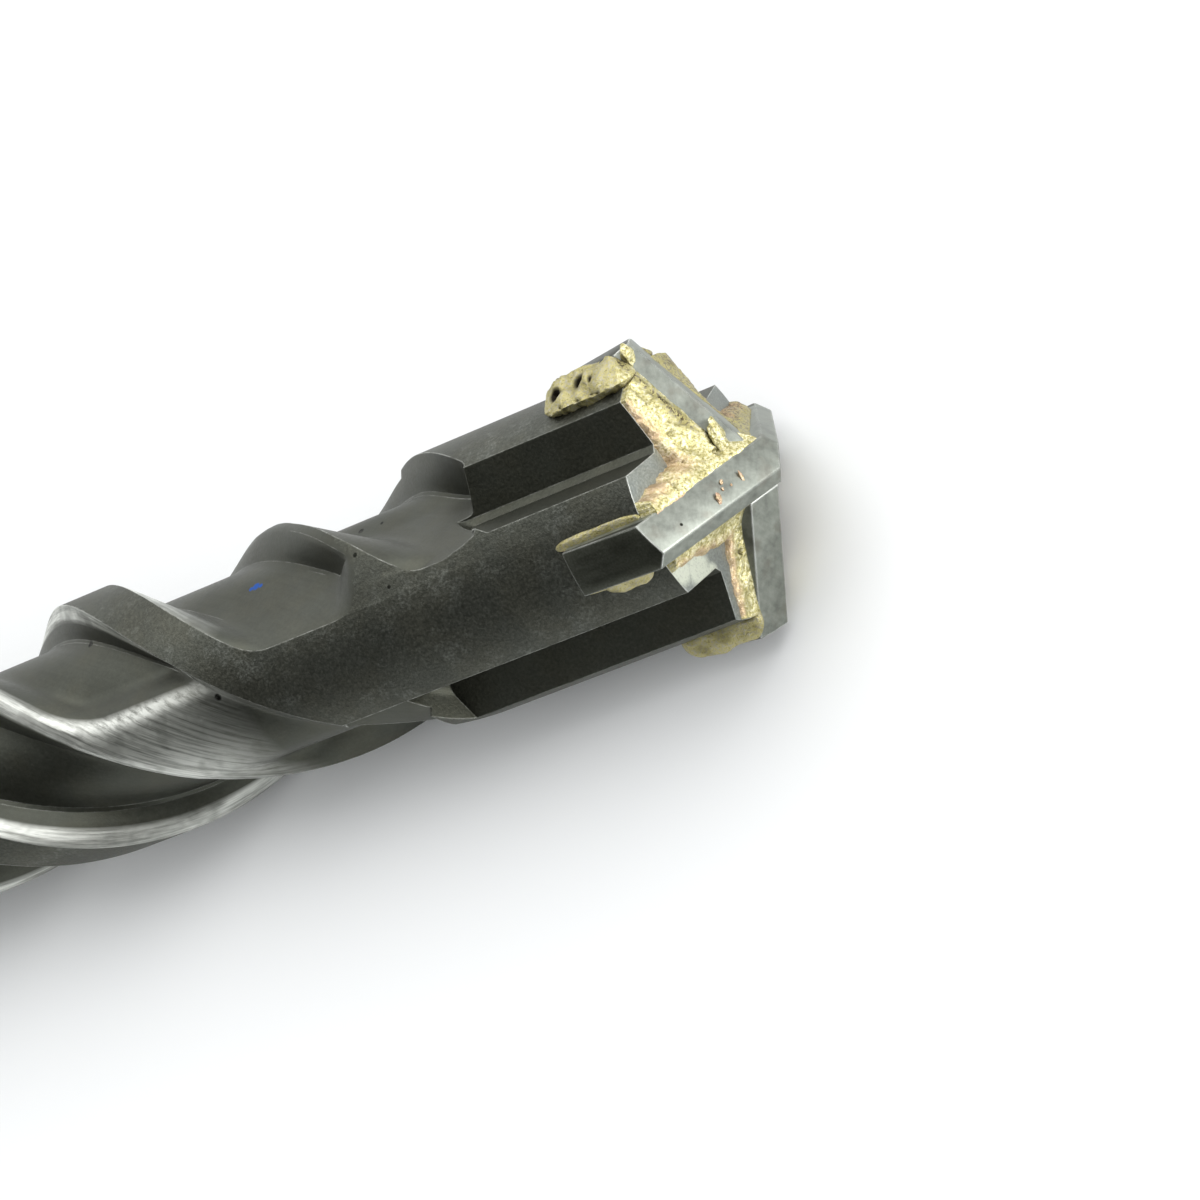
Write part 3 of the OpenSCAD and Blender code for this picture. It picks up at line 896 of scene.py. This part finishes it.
class BIT_OT_braze(Operator):
    """Heap frozen filler metal between the plates, and run it along their seams and outer ends"""
    bl_idname = "bit.braze"
    bl_label = "Braze"

    # Beads in the corners beside the plates' outer ends: corner (x, y), half widths (x, y), low
    # and high end, and how full the section is (2 round, 1 a straight fillet)
    BEADS = (
        ((1.6, -8.45), (1.95, 1.45), -7.3, -0.75, 1.25),
        ((-1.6, -8.45), (1.2, 0.95), -6.6, -1.0, 1.3),
        ((1.6, 8.45), (0.55, 1.35), -6.9, -0.9, 1.8),
        ((-1.6, 8.45), (0.7, 0.9), -6.9, -1.1, 1.4),
        ((8.42, -1.62), (0.22, 0.4), -7.5, -1.25, 2.2),
        ((8.42, 1.62), (0.16, 0.2), -7.1, -1.25, 2.0),
        ((8.45, 1.5), (0.75, 0.8), -5.7, -2.1, 1.1),
        ((-8.42, 1.62), (0.35, 0.45), -7.2, -1.25, 2.0),
        ((-8.42, -1.62), (0.25, 0.4), -7.2, -1.25, 2.0),
    )
    BEAD_RING = 0.12    # distance between the rings of a bead
    # Drops on the plates' ground faces: middle, half widths
    DROPS = (
        ((1.25, -2.6, 2.05), (0.75, 1.35, 0.4)), ((1.1, -9.45, -0.95), (0.62, 0.8, 0.3)),
        ((4.96, 0.0, 2.14), (0.3, 0.42, 0.1)), ((2.85, -0.2, 3.0), (0.16, 0.5, 0.09)),
        ((3.98, -0.7, 2.25), (0.2, 0.16, 0.09)), ((4.35, -0.35, 2.3), (0.09, 0.12, 0.07)),
        ((3.7, -0.25, 2.6), (0.08, 0.1, 0.06)),
    )
    # Pores in the first bead (place, radius, depth) and the painted shade at their bottoms (place,
    # radius)
    BEAD_PORES = ((2.7, -9.3, -5.9, 0.36, 0.6), (2.3, -9.5, -4.1, 0.42, 0.6),
                  (2.5, -9.3, -3.3, 0.26, 0.5))
    PORE_BOTTOMS = ((2.46, -9.12, -5.9, 0.6), (2.13, -9.25, -4.1, 0.62), (2.32, -9.13, -3.3, 0.46))
    # The cake's flat underside, and how far its sheet goes on past the border and the rim
    UNDERSIDE, PAST_BORDER, PAST_RIM = -2.2, 0.5, 0.2
    RIM_GAP, ARM_GAP = 0.02, 0.03   # how far it ends inside the land, and goes past the arms
    NOT_ZERO = 1e-6     # keeps a place on an axis in one quarter

    def execute(self, context):
        size = sizes()
        piece = self.cake(size)
        for number, bead in enumerate(self.BEADS):
            boolean(piece, self.bead(number, *bead), "UNION")
        for middle, half in self.DROPS:
            boolean(piece, self.drop(middle, half), "UNION")
        give_finish(piece, [braze_material(context.scene.bit_finish, size, self.PORE_BOTTOMS)])
        self.tint_and_shade(piece, size)
        finish_piece(piece, size, smooth=60)
        keep_with_body(piece, "braze")
        return {"FINISHED"}

    def cake(self, size):
        """The metal on the end face: a fine grid raised to its lumpy top and closed below."""
        metal, half = FrozenBraze(size), size["body_r"]
        piece = primitive("grid", "braze_metal", x_subdivisions=BRAZE_GRID,
                          y_subdivisions=BRAZE_GRID, size=2 * half)
        edit("DESELECT")
        bpy.ops.object.mode_set(mode="OBJECT")
        for vertex in piece.data.vertices:
            x, y = vertex.co.x or self.NOT_ZERO, vertex.co.y or self.NOT_ZERO
            vertex.co.z = metal.height(x, y)
            vertex.select = (metal.cover(x, y) < -self.PAST_BORDER
                             or math.hypot(x, y) > half + self.PAST_RIM)
        bpy.ops.object.mode_set(mode="EDIT")
        bpy.ops.mesh.delete(type="VERT")
        for _ in range(4):
            # Where two patches meet in one point only, that point goes too
            bpy.ops.mesh.select_all(action="SELECT")
            bpy.ops.mesh.delete_loose()
            bpy.ops.mesh.select_all(action="DESELECT")
            bpy.ops.mesh.select_non_manifold(extend=False, use_wire=True, use_boundary=False,
                                             use_multi_face=False, use_non_contiguous=False)
            bpy.ops.mesh.delete(type="VERT")
        bpy.ops.mesh.select_all(action="SELECT")
        bpy.ops.mesh.extrude_region_move(TRANSFORM_OT_translate={"value": (0, 0, -4)})
        bpy.ops.transform.resize(value=(1, 1, 0), center_override=(0, 0, self.UNDERSIDE))
        end_edit()
        for turn in range(0, 360, 90):
            channel = head_channel(size, SHORT_CHANNEL, spare=-self.ARM_GAP)
            boolean(piece, turn_piece(channel, turn))
        rim = cylinder("rim", half - self.RIM_GAP, self.UNDERSIDE - 0.8, size["tip_z"])
        return boolean(piece, rim, "INTERSECT")

    def bead(self, number, corner, half, low, high, fullness):
        """A run of metal along a corner: a sphere drawn out, with a rounded section, lumpy."""
        piece = primitive("uv_sphere", "bead", segments=48, radius=1,
                          ring_count=round((high - low) / self.BEAD_RING))
        for vertex in piece.data.vertices:
            t = 1 - math.acos(max(-1.0, min(1.0, vertex.co.z))) / math.pi
            around = math.atan2(vertex.co.y, vertex.co.x)
            z = low + (high - low) * t
            taper = max(0.0, 1 - abs(2 * t - 1) ** 4) ** 0.5
            x, y = math.cos(around), math.sin(around)
            c, s = (math.copysign(abs(v) ** (2 / fullness), v) for v in (x, y))
            seed = 5 * number
            lump = (1 + 0.2 * noise.noise(Vector((x, y + seed, z * 0.8)))
                    + half[0] * (0.07 * noise.noise(Vector((2.2 * x, 2.2 * y + seed, z * 1.3)))
                                 + 0.05 * noise.noise(Vector((4 * x, 4 * y, z * 3.1)))))
            vertex.co = (corner[0] + half[0] * c * taper * lump,
                         corner[1] + half[1] * s * taper * lump, z)
            for *pore, radius, depth in self.BEAD_PORES if number == 0 else ():
                away = (vertex.co - Vector(pore)).length
                if away < 2 * radius:
                    inwards = (Vector((*corner, z)) - vertex.co).normalized()
                    vertex.co += inwards * depth * math.exp(-(away / radius) ** 4)
        return piece

    def drop(self, middle, half):
        """A flat drop: a sphere pressed down, lumpy."""
        piece = primitive("ico_sphere", "drop", subdivisions=4, radius=1)
        for vertex in piece.data.vertices:
            way = vertex.co.normalized()
            lump = 1 + 0.3 * noise.noise(way * 1.6 + Vector(middle)) + 0.12 * noise.noise(way * 5)
            vertex.co = Vector(middle) + Vector([w * h * lump for w, h in zip(way, half)])
        return piece

    def tint_and_shade(self, piece, size):
        """Marks where the metal is copper-rich (red), and in green where it is painted darker:
        painted shade on the half with negative x and near the rim, and beside a short plate partly
        flux that burned in and partly painted shadow.
        """
        metal = FrozenBraze(size)
        marks = piece.data.color_attributes.new("tint_and_shade", "FLOAT_COLOR", "POINT")
        for vertex, mark in zip(piece.data.vertices, marks.data):
            x, y, z = vertex.co
            border = metal.cover(x or self.NOT_ZERO, y or self.NOT_ZERO)
            near_border = 1 - ease((border - 0.1) / 0.7)
            inside_rim = ease((size["body_r"] - math.hypot(x, y)) / 0.3)
            beside_short = abs(x) - size["side_t"] / 2
            splash = abs(y) < size["main_t"] / 2 - 0.1 and x > 2.4
            # Green: painted shade where x is below zero, partly flux that burned in and partly
            # painted shadow beside a short plate, and painted shade near the rim
            if x < 0:
                burnt_and_shaded = 0.75
            elif y < 0 and z > -1.4:
                burnt_and_shaded = ease(1 - abs(beside_short - 0.35) / 0.5) * ease((abs(y) - 3) / 1.5)
            else:
                burnt_and_shaded = 0.5 * ease((math.hypot(x, y) - 8.3) / 0.3)
            mark.color = (1 if splash else 0.7 * near_border * inside_rim, burnt_and_shaded, 0, 1)


class BIT_OT_stage(Operator):
    """Set up the pale floor, the soft lamps and the camera at the photograph's viewing angle"""
    bl_idname = "bit.stage"
    bl_label = "Stage"

    # Lamps: place, size in metres, watts
    LAMPS = {"lamp_above": (Vector((0.2, 0.4, 0.8)), 1.3, 6.5),
             "lamp_ahead": (Vector((0.8, -0.06, 0.06)), 0.3, 5.0)}
    AIM = Vector((0.08, 0, 0))
    STUDIO_LIGHT = 0.88
    CARD_PLACE, CARD_TILT, CARD_LENGTH = (-0.05, -0.16, 0.17), math.radians(78), 0.7
    # Camera: place, axes, lens on a sensor 36 mm wide
    CAMERA_PLACE = (0.21734, -0.12100, 0.19983)
    CAMERA_RIGHT = Vector((0.80311, -0.06583, -0.59218))
    CAMERA_UP = Vector((0.31341, 0.89195, 0.32589))
    CAMERA_LENS = 126.895

    def execute(self, context):
        scene = context.scene
        self.floor()
        self.world(scene)
        self.flag()
        for name, settings in self.LAMPS.items():
            self.lamp(scene, name, *settings)
        self.camera(scene)
        scene.view_settings.view_transform = "Standard"
        return {"FINISHED"}

    def floor(self):
        floor = primitive("plane", "floor", size=6)
        floor.data.materials.append(plain_material("pale_floor", "#f3f3f3", 0.9))

    def flag(self):
        """A dark card beside the bit, as photographers use, that only the metal reflects."""
        card = primitive("plane", "dark_card", size=1, location=self.CARD_PLACE,
                         rotation=(self.CARD_TILT, 0, 0))
        card.scale.x = self.CARD_LENGTH
        card.data.materials.append(plain_material("black_card", "#454642", 0.9))
        card.visible_camera = card.visible_diffuse = card.visible_shadow = False

    def world(self, scene):
        """Plain soft light, and a white background for the camera and in reflections."""
        scene.world = bpy.data.worlds.new("soft_studio")
        scene.world.use_nodes = True
        tree = scene.world.node_tree
        tree.nodes.clear()
        seen = add(tree, "Background", {"Color": "#ffffff", "Strength": 1.0})
        lit = add(tree, "Background", {"Color": "#edf0f1", "Strength": self.STUDIO_LIGHT})
        shown, path = 0.0, add(tree, "LightPath").node.outputs
        for ray in ("Is Camera Ray", "Is Glossy Ray", "Is Transmission Ray"):
            shown = add(tree, "Math", (shown, path[ray]), operation="MAXIMUM")
        add(tree, "OutputWorld", {"Surface": add(tree, "MixShader", (shown, lit, seen))})

    def lamp(self, scene, name, place, size, watts):
        data = bpy.data.lights.new(name, "AREA")
        data.energy, data.size = watts, size
        lamp = bpy.data.objects.new(name, data)
        scene.collection.objects.link(lamp)
        lamp.location = place
        lamp.rotation_euler = (self.AIM - place).to_track_quat("-Z", "Y").to_euler()

    def camera(self, scene):
        data = bpy.data.cameras.new("camera")
        data.sensor_width, data.lens = 36, self.CAMERA_LENS
        data.clip_start, data.clip_end = 0.01, 20
        camera = bpy.data.objects.new("camera", data)
        scene.collection.objects.link(camera)
        axes = (self.CAMERA_RIGHT, self.CAMERA_UP, self.CAMERA_RIGHT.cross(self.CAMERA_UP))
        camera.matrix_world = (Matrix.Translation(self.CAMERA_PLACE)
                               @ Matrix(axes).transposed().to_4x4())
        scene.camera = camera


class BIT_PT_panel(Panel):
    """Sizes, finishes and steps of the drill bit"""
    bl_idname = "BIT_PT_panel"
    bl_label = "Drill Bit"
    bl_space_type = "VIEW_3D"
    bl_region_type = "UI"
    bl_category = "Drill Bit"

    def draw(self, context):
        for group in (context.scene.bit_sizes, context.scene.bit_finish):
            for key in type(group).__annotations__:
                self.layout.prop(group, key)
        for step in STEPS:
            self.layout.operator(step.bl_idname)


STEPS = (BIT_OT_steel_body, BIT_OT_carbide_plates, BIT_OT_braze, BIT_OT_stage)
CLASSES = (BitSizes, BitFinish, *STEPS, BIT_PT_panel)


def register():
    for item in CLASSES:
        bpy.utils.register_class(item)
    bpy.types.Scene.bit_sizes = PointerProperty(type=BitSizes)
    bpy.types.Scene.bit_finish = PointerProperty(type=BitFinish)


def unregister():
    del bpy.types.Scene.bit_finish
    del bpy.types.Scene.bit_sizes
    for item in reversed(CLASSES):
        bpy.utils.unregister_class(item)


def main():
    register()
    bpy.ops.bit.steel_body()
    bpy.ops.bit.carbide_plates()
    bpy.ops.bit.braze()
    bpy.ops.bit.stage()


if __name__ == "__main__":
    main()
